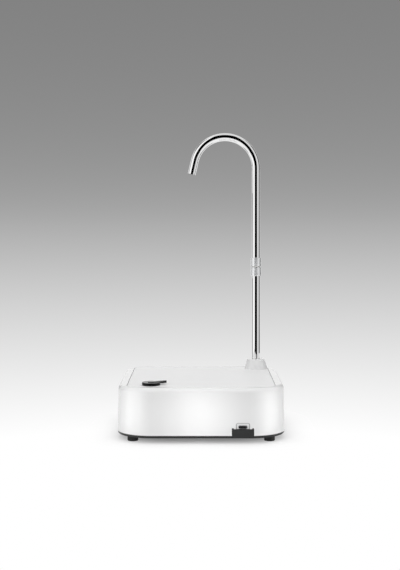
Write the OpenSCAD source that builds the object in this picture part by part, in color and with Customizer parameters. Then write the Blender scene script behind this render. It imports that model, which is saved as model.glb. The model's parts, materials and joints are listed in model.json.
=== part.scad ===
// Electric water jug pump: a low rounded case with a glass stand on top, a turning chrome gooseneck
// spout on a clear coupling, a lever knob, and a battery gear pump inside.
// Millimetres. The origin is on the table under the middle of the case. +X is right, +Y is back.

/* [Case] */
// Width of the white case at its foot
case_w = 170; // [164:1:200]
// Depth of the white case at its foot
case_d = 170; // [164:1:200]
// Height of the white case, from the base plate to the top
case_h = 47; // [46:0.5:56]
// Radius of the case's upright corners
corner_r = 36; // [32:0.5:38]
// How much the walls lean in on each side, from foot to top edge
draft = 0.7; // [0.3:0.1:1.2]
// Rounding of the top edge
edge_r = 5; // [3:0.5:6]
// Thickness of the case walls
wall = 2.2; // [1.8:0.1:2.8]
// Thickness of the case top under the panel
ceiling_t = 2.4; // [1.8:0.1:3]

/* [Top panel] */
// Width of the rim between the panel and the outside of the case
rim_w = 10; // [9:0.5:11]
// Thickness of the panel
panel_t = 1.6; // [1.2:0.1:2]
// Radius of the panel's corners
panel_r = 13; // [8:0.5:15]
// Rounding of the panel's top edge
panel_edge = 0.8; // [0.4:0.1:1]
// Width of the seam around the panel
seam = 0.4; // [0.3:0.05:0.6]

/* [Base plate] */
// Thickness of the plate, seen as a dark line under the case
plate_t = 2.6; // [2:0.1:3.2]
// Height of the ribs that locate the plate inside the case
lip_h = 4; // [2:0.5:4.5]
// Thickness of those ribs
lip_t = 1.6; // [1.2:0.1:2]
// Length of each rib
lip_len = 24; // [12:1:30]
// Outer radius of the screw bosses
boss_r = 5; // [4:0.1:5.5]
// Distance from the outside of the case to a screw boss
boss_inset = 9; // [8.5:0.1:10]

/* [Feet] */
// Diameter of a foot where it meets the table
foot_d = 10.8; // [9:0.1:12]
// Height of a foot below the plate
foot_h = 5; // [4:0.1:6]
// Distance from the outside of the case to a foot's centre
foot_inset = 16.5; // [16:0.5:20]
// Diameter of the stem that plugs a foot into the plate
foot_stem_d = 5; // [4:0.1:6]

/* [Knob] */
// Distance from the left side to the knob's axis
knob_inset_x = 34.5; // [32:0.5:44]
// Distance from the front to the knob's axis
knob_inset_y = 22.5; // [22:0.5:26]
// Diameter of the disc
knob_d = 18.6; // [16:0.2:21]
// Height of the disc
knob_h = 2.6; // [2.2:0.1:4]
// Reach of the lever's tip from the axis
lever_reach = 17.5; // [14:0.5:22]
// Width of the lever at its tip
lever_w = 4.2; // [3:0.1:6]
// How far the lever stands above the disc
lever_rise = 0.5; // [0.2:0.1:1]
// Thickness of the lever
lever_t = 2.1; // [1.6:0.1:2.4]
// Angle of the lever from the right, seen from above
lever_angle = 30; // [0:1:60]
// Diameter of the switch shaft
switch_shaft_d = 4; // [3:0.1:5]

/* [Spout] */
// Distance from the right side to the spout's axis
spout_inset_x = 23.5; // [23:0.5:28]
// Distance from the back to the spout's axis
spout_inset_y = 23; // [23:0.5:28]
// Outer diameter of the tube
tube_d = 9; // [8:0.1:9.6]
// Wall of the tube
tube_wall = 0.5; // [0.4:0.05:0.7]
// Height of the coupling's waist above the case
joint_rise = 114; // [60:1:160]
// Height of the whole pump, from the table to the top of the bend
spout_top = 318.4; // [270:0.2:350]
// Radius of the gooseneck's bend, at the middle of the tube
bend_r = 34.8; // [28:0.2:45]
// Angle of the bend
bend_angle = 167; // [120:1:175]
// Length of the straight end after the bend
tip_len = 15; // [5:0.5:40]
// Diameter of the collar at its foot
collar_d = 26.4; // [24:0.1:27]
// Diameter of the collar at its top
collar_top_d = 19.6; // [15:0.1:22]
// Height of the collar
collar_h = 11.2; // [8:0.1:16]

/* [Spout coupling] */
// Outer diameter of the clear sleeves
sleeve_d = 11.8; // [11:0.1:14]
// Length of each sleeve
sleeve_len = 10; // [7:0.1:16]
// Gap between the two sleeves
sleeve_gap = 0.5; // [0.3:0.05:1]
// Rounding of the sleeves' ends
sleeve_edge = 0.9; // [0.4:0.05:1]
// Length of the inner connector on each side of the waist
nipple_len = 16; // [12:0.5:24]
// Wall of the inner connector
nipple_wall = 0.9; // [0.8:0.05:1.2]
// Thickness of the seal rings in the spout
ring_t = 0.8; // [0.6:0.05:1]

/* [Charging port] */
// Distance from the right side to the middle of the port
port_inset_x = 43.7; // [42:0.1:50]
// Width of the dark tab under the port
tab_w = 21.6; // [18:0.1:24]
// Height of the tab above the plate
tab_h = 6.6; // [5.5:0.1:9]
// Height of the small ears at the tab's corners
ear_h = 0.8; // [0.4:0.1:1.2]
// Width of the recess around the socket
recess_w = 14; // [12:0.1:16]
// Height of the recess above the tab
recess_h = 6.2; // [5.6:0.1:8]
// Depth of the recess
recess_t = 0.9; // [0.5:0.1:1.1]
// Width of the socket's metal shell
socket_w = 8.94; // [8:0.02:10]
// Height of the socket's metal shell
socket_h = 3.26; // [2.8:0.02:4]
// Length of the socket's metal shell
socket_len = 7.3; // [6.5:0.1:9]
// Thickness of the socket's metal shell
socket_t = 0.3; // [0.2:0.05:0.4]

/* [Pump and motor] */
// Distance of the pump's axis to the right of the middle
pump_x = 5; // [0:0.5:10]
// Distance of the motor's front face behind the middle
pump_y = -2; // [-6:0.5:4]
// Diameter of the motor
motor_d = 24.4; // [22:0.1:26]
// Length of the motor's can
motor_len = 31; // [29:0.5:36]
// Wall of the motor's can
can_wall = 1; // [0.8:0.1:1.4]
// Diameter of the motor's shaft
shaft_d = 2; // [1.8:0.05:2.4]
// Number of teeth on each pump gear
gear_teeth = 12; // [11:1:13]
// Module of the pump gears
gear_module = 1; // [0.95:0.01:1.05]
// Thickness of the pump gears
gear_t = 8; // [6:0.1:9]
// Diameter of the idle gear's pin
pin_d = 3; // [2.4:0.1:3.4]
// Wall of the pump body around the gears
pump_wall = 2.6; // [2.2:0.1:3.2]
// Thickness of the pump body behind the gears
pump_back = 5; // [4.5:0.1:7]
// Thickness of the pump's cover
cover_t = 4; // [3:0.1:6]
// Thickness of the rubber under the motor
cradle_t = 4.8; // [3.5:0.1:5.4]
// Thickness of the motor's strap
strap_t = 1.2; // [0.8:0.1:1.6]

/* [Hoses] */
// Bore of the inner hoses, stretched over their barbs
hose_bore = 6; // [5.6:0.1:6.2]
// Wall of the inner hoses
hose_wall = 1.5; // [1:0.1:2]
// Radius of the hoses' bends, at the middle of the hose
hose_bend = 16; // [12:0.5:18]
// Bore of the barbs
barb_bore = 4; // [3:0.1:4.4]
// Length of the barbs
barb_len = 12; // [10:0.5:13]
// Thickness of a hose clip
clip_t = 0.8; // [0.6:0.1:1.2]
// Width of a hose clip
clip_w = 5; // [3:0.5:6]

/* [Water inlet] */
// Distance from the left side to the inlet's axis
inlet_inset_x = 50; // [49:0.5:56]
// Bore of the inlet, for a quarter-inch supply tube
inlet_bore = 6.5; // [6.4:0.05:6.6]
// Outer diameter of the inlet's body
inlet_d = 16; // [15:0.5:17]
// Diameter of the inlet's flange
inlet_flange_d = 22; // [20:0.5:24]

/* [Battery] */
// Diameter of the cell
cell_d = 18.4; // [17:0.1:19]
// Length of the cell
cell_len = 65; // [60:0.5:67]
// Wall of the cell's holder
holder_t = 1.6; // [1.2:0.1:2]
// Distance from the left side to the cell's axis
cell_inset_x = 27; // [25.5:0.5:28]

/* [Boards] */
// Thickness of the circuit boards
board_t = 1.6; // [1:0.1:2]
// Width of the switch board
board_w = 40; // [38:1:44]
// Depth of the switch board
board_d = 30; // [26:1:30]
// Length of the posts that hold the switch board
post_h = 10.4; // [9.6:0.1:11]
// Width of the charging board
charge_w = 20; // [18:0.5:22]
// Depth of the charging board
charge_d = 22; // [18:0.5:24]
// Diameter of a wire
wire_d = 1.4; // [1:0.1:1.8]

/* [Screws and clearances] */
// Diameter of the case and strap screws
screw_d = 3; // [2.5:0.1:3.2]
// Diameter of the small screws
small_screw_d = 2; // [1.6:0.1:2.2]
// Clearance between pieces that are pushed together
fit = 0.05; // [0.02:0.01:0.08]
// Clearance of a shaft in its bearing
run = 0.05; // [0.02:0.01:0.08]
// Clearance between pieces that move past each other
gap = 0.3; // [0.2:0.05:0.4]

/* [Hidden] */
$fn = 64;
eps = 0.5;

// Heights of the case
plate_z = foot_h;
floor_z = plate_z + plate_t;
top_z = floor_z + case_h;
panel_z = top_z - panel_t;
ceiling_z = panel_z - ceiling_t;

// Plan of the case: inside faces, bosses, feet, knob, spout, port
inner_x = case_w / 2 - draft - wall;
inner_y = case_d / 2 - draft - wall;
inner_r = corner_r - draft - wall;
boss_x = case_w / 2 - boss_inset;
boss_y = case_d / 2 - boss_inset;
boss_places = [[boss_x, 0], [-boss_x, 0], [0, boss_y], [0, -boss_y]];
foot_x = case_w / 2 - foot_inset;
foot_y = case_d / 2 - foot_inset;
knob_x = knob_inset_x - case_w / 2;
knob_y = knob_inset_y - case_d / 2;
spout_x = case_w / 2 - spout_inset_x;
spout_y = case_d / 2 - spout_inset_y;
port_x = case_w / 2 - port_inset_x;
front_y = -case_d / 2;
tab_t = draft + wall;

// Screws
screw_head_r = screw_d * 0.92;
screw_head_h = screw_d * 0.6;
small_head_r = small_screw_d * 0.95;
small_head_h = small_screw_d * 0.6;
screw_hole_r = screw_d / 2 + fit;
small_hole_r = small_screw_d / 2 + fit;
screw_len = 12;
boss_hole = screw_len - plate_t + 2;

// Bare shallow panel under the plate
label_w = 46;
label_d = 26;
label_r = 3;
label_t = 0.4;

// Knob and switch
knob_z = top_z + gap;
knob_edge = 0.5;
lever_top = knob_z + knob_h + lever_rise;
shaft_hole_r = switch_shaft_d / 2 + 1.3;
bushing_r = shaft_hole_r - gap;
shaft_top = knob_z + knob_h - 0.9;
shaft_flat = switch_shaft_d * 0.25;
board_z = ceiling_z - post_h;
board_shift_x = 8.5;
board_shift_y = 0.7;
board_x = knob_x + board_shift_x;
board_y = knob_y + board_shift_y;
switch_w = 13;
switch_h = 7.4;
shaft_bottom = board_z + 2;
post_r = 2.6;
post_inset = 3;
post_x = board_w / 2 - post_inset;
post_y = board_d / 2 - post_inset;
post_places = [for (x = [-1, 1], y = [-1, 1]) [board_x + x * post_x, board_y + y * post_y]];
post_screw_len = 6;

// Gears: the tips stay below the radius where they would foul the flanks near the roots
gear_pressure = 20;
gear_rp = gear_module * gear_teeth / 2;
gear_rb = gear_rp * cos(gear_pressure);
gear_c = 2 * gear_rp;
gear_ra_limit = sqrt(pow(gear_rb, 2) + pow(gear_c * sin(gear_pressure), 2)) - 0.03;
gear_ra = min(gear_rp + 0.9 * gear_module, gear_ra_limit);
gear_rf = gear_rp - 1.2 * gear_module;
gear_backlash = 0.16;
gear_gap = 0.1;
flank_steps = 5;

// Motor and pump heights and lengths along their axis, from the motor's front face
motor_r = motor_d / 2;
motor_z = floor_z + cradle_t + motor_r;
barb_z = motor_z + gear_c / 2;
cavity_r = gear_ra + gear_gap;
cavity_t = gear_t + gear_gap;
pump_half = cavity_r + pump_wall;
pump_len = pump_back + cavity_t;
gasket_t = 0.5;
cover_z = pump_len + gasket_t;
port_w = pump_back + cavity_t / 2;
can_boss_r = 3.4;
can_boss_h = 1.8;
bush_r = 2.5;
cap_t = 3;
cap_plug = 2;
seal_r = 3;
seal_t = 1.8;
seal_z = can_boss_h + gap;
magnet_t = 2;
magnet_angle = 130;
can_inner_r = motor_r - can_wall;
core_r = can_inner_r - magnet_t - 0.5;
core_back = 9;
core_front = 7;
core_len = motor_len - core_back - core_front;
core_z = -motor_len + core_back;
magnet_over = 2.5;
magnet_len = core_len + 2 * magnet_over;
slot_r = core_r * 0.3;
slot_at = core_r * 0.58;
slot_mouth = 1.4;
coil_end = 1.8;
commutator_r = 3;
commutator_len = 2.4;
commutator_z = core_z - coil_end - 0.4 - commutator_len;
brush_w = 2;
brush_t = 1.8;
blade_at = motor_r * 0.66;
blade_out = 4;
shaft_back = motor_len + cap_t - 0.6;
shaft_front = pump_back + gear_t;
pin_seat = 2;
pin_cover = 2.5;
pump_screw_inset = 2.4;
pump_screw_x = pump_half - pump_screw_inset;
pump_screw_v = [pump_screw_x, -gear_c - pump_screw_x];
pump_screw_d = small_screw_d + 0.4;
pump_screw_len = cover_t + gasket_t + cavity_t + pin_seat - 2 * fit;
pin_len = pin_seat + cavity_t + gasket_t + pin_cover - 2 * fit;

// Motor cradle and strap
cradle_len = 20;
cradle_y = pump_y - motor_len / 2 - cradle_len / 2;
strap_drop = motor_r / 2;
cradle_top = motor_z - strap_drop;
strap_w = 8;
strap_y = pump_y - motor_len / 2 - strap_w / 2;
strap_ri = motor_r + fit;
strap_ear = sqrt(pow(strap_ri, 2) - pow(strap_drop - strap_t, 2)) + 0.3;
strap_screw_x = strap_ri + strap_t + screw_head_r + gap;
cradle_w = 2 * (strap_screw_x + screw_head_r + gap);
cradle_post_r = 2.6;
cradle_post_h = 6;
strap_screw_len = cradle_top + strap_t - floor_z - 1;

// Hoses, barbs and clips
barb_r = hose_bore / 2 - fit;
barb_bore_r = barb_bore / 2;
hose_r = hose_bore / 2 + hose_wall;
port_y = pump_y + port_w;
clip_inset = 2.5;

// Spout socket, from the tube's seat to its foot
tube_r = tube_d / 2;
tube_bore_r = tube_r - tube_wall;
tube_hole_r = tube_r + fit;
socket_r = tube_r + 2.5;
socket_hole_r = socket_r + 0.2;
seat_rise = 8;
socket_drop = 7;
seat_z = barb_z + seat_rise;
socket_foot_z = barb_z - socket_drop;
flange_r = collar_d / 2 - 2.4;
flange_t = 2;
socket_gasket_t = 1;
socket_seal_z = ceiling_z - 2;
socket_nut_t = 5;
socket_nut_wall = 4.5;
socket_nut_r = socket_r + socket_nut_wall;
socket_face_y = spout_y - socket_r;
chamber_r = 3;
chamber_z = barb_z - barb_bore_r - 0.5;

// Spout coupling
joint_z = top_z + joint_rise;
neck_z = spout_top - bend_r - tube_r;
nipple_r = tube_bore_r - fit;
nipple_bore_r = nipple_r - nipple_wall;
nipple_flange = 1;
seal_at = [nipple_len * 0.45, nipple_len * 0.75];
groove_d = ring_t * 0.9;

// The straight end starts inside the bend and is finer by a hair, so that the two join cleanly
tip_lap = 0.3;
tip_step = 0.002;

// Charging port
tab_top = floor_z + tab_h;
socket_z = tab_top + 0.1 + socket_h / 2;
socket_face = front_y + draft + recess_t + 0.3;
charge_z = tab_top + 0.1;
charge_post_r = 2.6;
charge_post_inset = 2.6;
charge_screw_x = charge_w / 2 - charge_post_inset;
charge_screw_y = -inner_y + gap + charge_d - charge_post_inset;
charge_screw_len = 5;
tongue_t = 0.7;
tongue_back = 2.2;

// Water inlet, along its axis from the counterbore's floor, pointing into the case
inlet_x = inlet_inset_x - case_w / 2;
inlet_r = inlet_d / 2;
inlet_flange_t = 1;
inlet_y = case_d / 2 - draft - inlet_flange_t;
inlet_wall = wall - inlet_flange_t;
inlet_bore_r = inlet_bore / 2;
inlet_len = 17;
inlet_stop = 14;
collet_r = inlet_r - 2.8;
collet_len = 6;
inlet_ring_t = 1.9;
inlet_nut_t = 4.5;
inlet_nut_r = inlet_r + 4;
inlet_barb_y = inlet_y - inlet_len;

// Battery
cell_x = cell_inset_x - case_w / 2;
cell_r = cell_d / 2;
cell_y = -5;
cell_z = floor_z + holder_t + fit + cell_r;
contact_t = 0.6;
contact_w = 9;
holder_inner_w = cell_d + 2 * gap;
holder_inner_len = cell_len + 2 * contact_t + 4 * fit;
holder_h = holder_t + cell_r + 3;
contact_top = floor_z + holder_h + 2.5;
contact_y = cell_len / 2 + fit + contact_t / 2;

// Connectors under the switch board, and the wires' corners
plug_h = 6;
plug_w = 7;
cell_plug_w = 9;
capacitor_r = 3.5;
capacitor_h = 9;
capacitor_at = [3, -4];
chip_size = [7, 5, 1.6];
chip_at = [-7, -10];
chip_gap = 3;
lead_turn = 10;
lead_lap = 2;
plug_z = board_z - board_t - plug_h / 2;
plug_x = board_x + board_w / 2 - 1;
motor_plug_at = 6;
charge_plug_at = -4.5;
motor_plug_y = board_y + motor_plug_at;
charge_plug_y = board_y + charge_plug_at;
cell_plug_x = cell_x - 2.5;
cell_plug_y = board_y + board_d / 2 - plug_w - 1;
wire_r = wire_d / 2;
wire_bend = 3;
wire_pitch = 2.6;

function unit(v) = v / norm(v);
function bend_angle_at(a, b) = acos(a * b);

// Rounded rectangle in plan, centred
module rounded_rect(w, d, r) {
  square([w - 2 * r, d], center = true);
  square([w, d - 2 * r], center = true);
  for (x = [-1, 1], y = [-1, 1])
    translate([x * (w / 2 - r), y * (d / 2 - r)]) circle(r);
}

module rounded_slab(w, d, r, h) {
  linear_extrude(h) rounded_rect(w, d, r);
}

// Sweeps a profile, drawn from a corner's axis outwards, around a rounded rectangle
module swept_case(w, d, r, z, h) {
  for (x = [0, 1], y = [0, 1])
    mirror([x, 0, 0]) mirror([0, y, 0])
      translate([w / 2 - r, d / 2 - r, 0]) rotate_extrude(angle = 90) children();
  for (x = [0, 1])
    mirror([x, 0, 0]) translate([w / 2 - r, d / 2 - r, 0])
      rotate([90, 0, 0]) linear_extrude(d - 2 * r) children();
  for (y = [0, 1])
    mirror([0, y, 0]) translate([r - w / 2, d / 2 - r, 0])
      rotate([90, 0, 90]) linear_extrude(w - 2 * r) children();
  translate([r - w / 2, r - d / 2, z]) cube([w - 2 * r, d - 2 * r, h]);
}

module case_profile() {
  top_x = corner_r - draft - edge_r;
  translate([top_x, top_z - edge_r]) circle(edge_r);
  polygon([
    [0, floor_z], [corner_r, floor_z], [corner_r - draft, top_z - edge_r], [top_x, top_z], [0, top_z]
  ]);
}

// Round bar along a route of points, with bends of one radius
module route(points, r, bend) {
  last = len(points) - 1;
  dirs = [for (i = [0:last - 1]) unit(points[i + 1] - points[i])];
  cuts = [
    for (i = [0:last]) (i == 0 || i == last) ? 0 : bend * tan(bend_angle_at(dirs[i - 1], dirs[i]) / 2)
  ];
  for (i = [0:last - 1]) {
    start = points[i] + dirs[i] * cuts[i];
    length = norm(points[i + 1] - points[i]) - cuts[i] - cuts[i + 1];
    translate(start) rotate([0, acos(dirs[i].z), atan2(dirs[i].y, dirs[i].x)])
      cylinder(r = r, h = length);
  }
  for (i = [1:1:last - 1]) {
    a = dirs[i - 1];
    b = dirs[i];
    n = unit(b - a * (a * b));
    w = cross(-n, a);
    centre = points[i] - a * cuts[i] + n * bend;
    multmatrix([
      [-n.x, a.x, w.x, centre.x], [-n.y, a.y, w.y, centre.y], [-n.z, a.z, w.z, centre.z], [0, 0, 0, 1]
    ]) rotate_extrude(angle = bend_angle_at(a, b)) translate([bend, 0]) circle(r);
  }
}

module ring(r_out, r_in, h) {
  difference() {
    cylinder(r = r_out, h = h);
    translate([0, 0, -eps]) cylinder(r = r_in, h = h + 2 * eps);
  }
}

// Pan-head screw with its head up and its seat at the origin
module pan_screw(d, length, head_r, head_h) {
  edge = head_h * 0.45;
  translate([0, 0, -length]) cylinder(d = d, h = length + head_h / 2);
  difference() {
    rotate_extrude() {
      square([head_r, head_h - edge]);
      square([head_r - edge, head_h]);
      translate([head_r - edge, head_h - edge]) circle(edge);
    }
    for (a = [0, 90])
      rotate(a) translate([-head_r * 0.55, -head_r * 0.11, head_h * 0.5])
        cube([head_r * 1.1, head_r * 0.22, head_h]);
  }
}

// Involute gear outline with one tooth on the +X axis, turned by half a tooth if asked
function involute(r) = r <= gear_rb ? 0 : tan(acos(gear_rb / r)) * 180 / PI - acos(gear_rb / r);
function tooth_half(r) =
  90 / gear_teeth - gear_backlash / 4 / gear_rp * 180 / PI + involute(gear_rp) - involute(r);
function flank_r(i) = gear_rb + (gear_ra - gear_rb) * i / flank_steps;
function polar(r, a) = [r * cos(a), r * sin(a)];

module gear_outline(turn) {
  polygon([
    for (t = [0:gear_teeth - 1])
      let (mid = turn + t * 360 / gear_teeth)
        each concat(
          [polar(gear_rf, mid - tooth_half(gear_rb))],
          [for (i = [0:flank_steps]) polar(flank_r(i), mid - tooth_half(flank_r(i)))],
          [for (i = [flank_steps:-1:0]) polar(flank_r(i), mid + tooth_half(flank_r(i)))],
          [polar(gear_rf, mid + tooth_half(gear_rb))]
        )
  ]);
}

// Places things along the motor's axis: local Z runs back, local -Y is up
module on_pump_axis(z = 0) {
  translate([pump_x, pump_y, motor_z]) rotate([-90, 0, 0]) translate([0, 0, z]) children();
}

// Places things along the inlet's axis: local Z runs into the case
module on_inlet_axis(z = 0) {
  translate([inlet_x, inlet_y, barb_z]) rotate([90, 0, 0]) translate([0, 0, z]) children();
}

module on_spout_axis(z = 0) {
  translate([spout_x, spout_y, z]) children();
}

// Outline of the charging socket: a bar with round ends
module stadium(w, h) {
  square([w - h, h], center = true);
  for (x = [-1, 1]) translate([x * (w - h) / 2, 0]) circle(h / 2);
}

module housing() {
  color("white") difference() {
    union() {
      difference() {
        swept_case(case_w, case_d, corner_r, floor_z, case_h) case_profile();
        translate([0, 0, floor_z - eps])
          rounded_slab(2 * inner_x, 2 * inner_y, inner_r, ceiling_z - floor_z + eps);
      }
      for (p = boss_places)
        translate([p.x, p.y, floor_z]) cylinder(r = boss_r, h = ceiling_z - floor_z + eps);
      for (p = post_places)
        translate([p.x, p.y, board_z]) cylinder(r = post_r, h = post_h + eps);
    }
    translate([0, 0, panel_z])
      rounded_slab(case_w - 2 * rim_w, case_d - 2 * rim_w, panel_r, panel_t + eps);
    for (p = boss_places)
      translate([p.x, p.y, floor_z - eps]) cylinder(r = screw_hole_r, h = boss_hole + eps);
    for (p = post_places)
      translate([p.x, p.y, board_z - eps]) cylinder(r = small_hole_r, h = post_screw_len + 1 + eps);
    translate([knob_x, knob_y, ceiling_z - eps]) cylinder(r = shaft_hole_r, h = ceiling_t + 2 * eps);
    on_spout_axis(ceiling_z - eps) cylinder(r = socket_hole_r, h = ceiling_t + 2 * eps);
    on_inlet_axis(-inlet_flange_t - draft - eps)
      cylinder(d = inlet_flange_d + 2 * gap, h = inlet_flange_t + draft + eps);
    on_inlet_axis(-eps) cylinder(r = inlet_r + fit, h = inlet_wall + 2 * eps);
    port_cut();
  }
}

// Notch for the tab, the shallow recess above it and the way through for the socket
module port_cut() {
  translate([port_x - tab_w / 2 - gap, front_y - eps, floor_z - eps])
    cube([tab_w + 2 * gap, tab_t + 2 * eps, tab_h + fit + eps]);
  for (x = [-1, 1])
    translate([port_x + x * (tab_w / 2 - ear_h), front_y - eps, tab_top]) rotate([-90, 0, 0])
      cylinder(r = ear_h + gap, h = tab_t + 2 * eps);
  translate([port_x, front_y + draft + recess_t, tab_top]) rotate([90, 0, 0])
    linear_extrude(draft + recess_t + eps) recess_outline();
  translate([port_x, front_y - eps, socket_z]) rotate([-90, 0, 0])
    linear_extrude(tab_t + 2 * eps) stadium(socket_w + 2 * gap, socket_h + 2 * gap);
}

module recess_outline() {
  recess_r = recess_h / 3;
  translate([-recess_w / 2, -eps]) square([recess_w, recess_h - recess_r + eps]);
  translate([recess_r - recess_w / 2, -eps]) square([recess_w - 2 * recess_r, recess_h + eps]);
  for (x = [-1, 1]) translate([x * (recess_w / 2 - recess_r), recess_h - recess_r]) circle(recess_r);
}

module panel_profile() {
  r = panel_r - seam;
  translate([r - panel_edge, top_z - panel_edge]) circle(panel_edge);
  polygon([[0, panel_z], [r, panel_z], [r, top_z - panel_edge], [r - panel_edge, top_z], [0, top_z]]);
}

module top_panel() {
  panel_w = case_w - 2 * rim_w - 2 * seam;
  panel_d = case_d - 2 * rim_w - 2 * seam;
  color("whitesmoke") difference() {
    swept_case(panel_w, panel_d, panel_r - seam, panel_z, panel_t) panel_profile();
    translate([knob_x, knob_y, panel_z - eps]) cylinder(r = shaft_hole_r, h = panel_t + 2 * eps);
    on_spout_axis(panel_z - eps) cylinder(r = socket_hole_r, h = panel_t + 2 * eps);
  }
}

module base_plate() {
  edge = plate_t * 0.35;
  inset = gap + edge;
  color("dimgray") difference() {
    union() {
      translate([0, 0, plate_z + edge])
        rounded_slab(case_w - 2 * gap, case_d - 2 * gap, corner_r - gap, plate_t - edge);
      translate([0, 0, plate_z])
        rounded_slab(case_w - 2 * inset, case_d - 2 * inset, corner_r - inset, edge);
      plate_ribs();
      port_tab();
      for (x = [-1, 1])
        translate([pump_x + x * strap_screw_x, strap_y + strap_w / 2, floor_z - eps])
          cylinder(r = cradle_post_r, h = cradle_post_h + eps);
      for (x = [-1, 1])
        translate([port_x + x * charge_screw_x, charge_screw_y, floor_z - eps])
          cylinder(r = charge_post_r, h = charge_z - board_t - floor_z + eps);
    }
    for (p = boss_places)
      translate([p.x, p.y, plate_z - eps]) cylinder(r = screw_hole_r, h = plate_t + 2 * eps);
    for (x = [-1, 1], y = [-1, 1])
      translate([x * foot_x, y * foot_y, plate_z - eps])
        cylinder(d = foot_stem_d + 2 * fit, h = plate_t + 2 * eps);
    for (x = [-1, 1])
      translate([pump_x + x * strap_screw_x, strap_y + strap_w / 2, floor_z])
        cylinder(r = screw_hole_r, h = cradle_post_h + eps);
    for (x = [-1, 1])
      translate([port_x + x * charge_screw_x, charge_screw_y, floor_z])
        cylinder(r = small_hole_r, h = charge_z);
    translate([0, 0, plate_z - eps]) rounded_slab(label_w, label_d, label_r, label_t + eps);
  }
}

// Two ribs on each side, clear of the screw bosses
module plate_ribs() {
  for (s = [-1, 1], e = [-1, 1]) {
    along = boss_r + 2 + lip_len / 2;
    translate([s * along, e * (inner_y - gap - lip_t / 2), floor_z - eps])
      translate([-lip_len / 2, -lip_t / 2, 0]) cube([lip_len, lip_t, lip_h + eps]);
    translate([e * (inner_x - gap - lip_t / 2), s * along, floor_z - eps])
      translate([-lip_t / 2, -lip_len / 2, 0]) cube([lip_t, lip_len, lip_h + eps]);
  }
}

module port_tab() {
  tab_y = front_y + gap;
  depth = tab_t - gap;
  translate([port_x - tab_w / 2, tab_y, floor_z - eps]) cube([tab_w, depth, tab_h + eps]);
  for (x = [-1, 1])
    translate([port_x + x * (tab_w / 2 - ear_h), tab_y, tab_top]) rotate([-90, 0, 0])
      cylinder(r = ear_h, h = depth);
}

// One foot, drawn at its place: a round pad with a soft edge and a stem through the plate
module foot(x, y) {
  edge = 0.8;
  color([0.12, 0.12, 0.12]) translate([x * foot_x, y * foot_y, 0]) {
    rotate_extrude() {
      square([foot_d / 2 - edge, edge]);
      translate([0, edge]) square([foot_d / 2, foot_h - edge]);
      translate([foot_d / 2 - edge, edge]) circle(edge);
    }
    cylinder(d = foot_stem_d, h = floor_z + 1);
  }
}

module case_screws() {
  color("silver") for (p = boss_places)
    translate([p.x, p.y, plate_z]) mirror([0, 0, 1])
      pan_screw(screw_d, screw_len, screw_head_r, screw_head_h);
}

// Shaft with a flat, as a plan outline
module shaft_outline(r, flat) {
  difference() {
    circle(r);
    translate([r - flat, -r]) square(2 * r);
  }
}

module knob() {
  r = knob_d / 2;
  color("black") translate([knob_x, knob_y, 0]) rotate(lever_angle) difference() {
    union() {
      translate([0, 0, knob_z]) rotate_extrude() {
        square([r, knob_h - knob_edge]);
        square([r - knob_edge, knob_h]);
        translate([r - knob_edge, knob_h - knob_edge]) circle(knob_edge);
      }
      translate([0, 0, lever_top - lever_t]) linear_extrude(lever_t) lever_outline();
    }
    translate([0, 0, knob_z - eps]) linear_extrude(shaft_top - knob_z + eps + fit)
      shaft_outline(switch_shaft_d / 2 + fit, shaft_flat);
  }
}

// Lever in plan: a bar that narrows from the disc to a round tip
module lever_outline() {
  root_w = lever_w * 1.5;
  tip = lever_reach - lever_w / 2;
  translate([tip, 0]) circle(lever_w / 2);
  circle(root_w / 2);
  polygon([[0, -root_w / 2], [tip, -lever_w / 2], [tip, lever_w / 2], [0, root_w / 2]]);
}

module switch_shaft() {
  r = switch_shaft_d / 2;
  flat_z = top_z + gap / 2;
  color("silver") translate([knob_x, knob_y, 0]) rotate(lever_angle) {
    translate([0, 0, shaft_bottom]) cylinder(r = r, h = flat_z - shaft_bottom);
    translate([0, 0, flat_z]) linear_extrude(shaft_top - flat_z) shaft_outline(r, shaft_flat);
  }
}

module switch_body() {
  bore_r = switch_shaft_d / 2 + run;
  color([0.15, 0.15, 0.17]) difference() {
    union() {
      translate([knob_x - switch_w / 2, knob_y - switch_w / 2, board_z])
        cube([switch_w, switch_w, switch_h]);
      translate([knob_x, knob_y, board_z]) cylinder(r = bushing_r, h = post_h + ceiling_t - gap);
    }
    translate([knob_x, knob_y, shaft_bottom - gap]) cylinder(r = bore_r, h = case_h);
  }
}

module switch_board() {
  color("darkgreen") difference() {
    translate([board_x - board_w / 2, board_y - board_d / 2, board_z - board_t])
      cube([board_w, board_d, board_t]);
    for (p = post_places)
      translate([p.x, p.y, board_z - board_t - eps]) cylinder(r = small_hole_r, h = board_t + 2 * eps);
  }
}

module switch_board_screws() {
  color("silver") for (p = post_places)
    translate([p.x, p.y, board_z - board_t]) mirror([0, 0, 1])
      pan_screw(small_screw_d, post_screw_len, small_head_r, small_head_h);
}

// Connectors, a capacitor and a chip under the switch board, and a chip on the charging board
module board_components() {
  under_z = board_z - board_t;
  color([0.2, 0.2, 0.22]) {
    for (y = [motor_plug_y, charge_plug_y])
      translate([plug_x - plug_w, y - plug_w / 2, under_z - plug_h]) cube([plug_w, plug_w, plug_h]);
    translate([cell_plug_x, cell_plug_y - plug_w, under_z - plug_h]) cube([cell_plug_w, plug_w, plug_h]);
    translate([board_x + capacitor_at.x, board_y + capacitor_at.y, under_z - capacitor_h])
      cylinder(r = capacitor_r, h = capacitor_h);
    translate([board_x + chip_at.x, board_y + chip_at.y, under_z - chip_size.z]) cube(chip_size);
    translate([port_x - chip_size.x / 2, charge_screw_y - chip_size.y - chip_gap, charge_z])
      cube(chip_size);
  }
}

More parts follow.
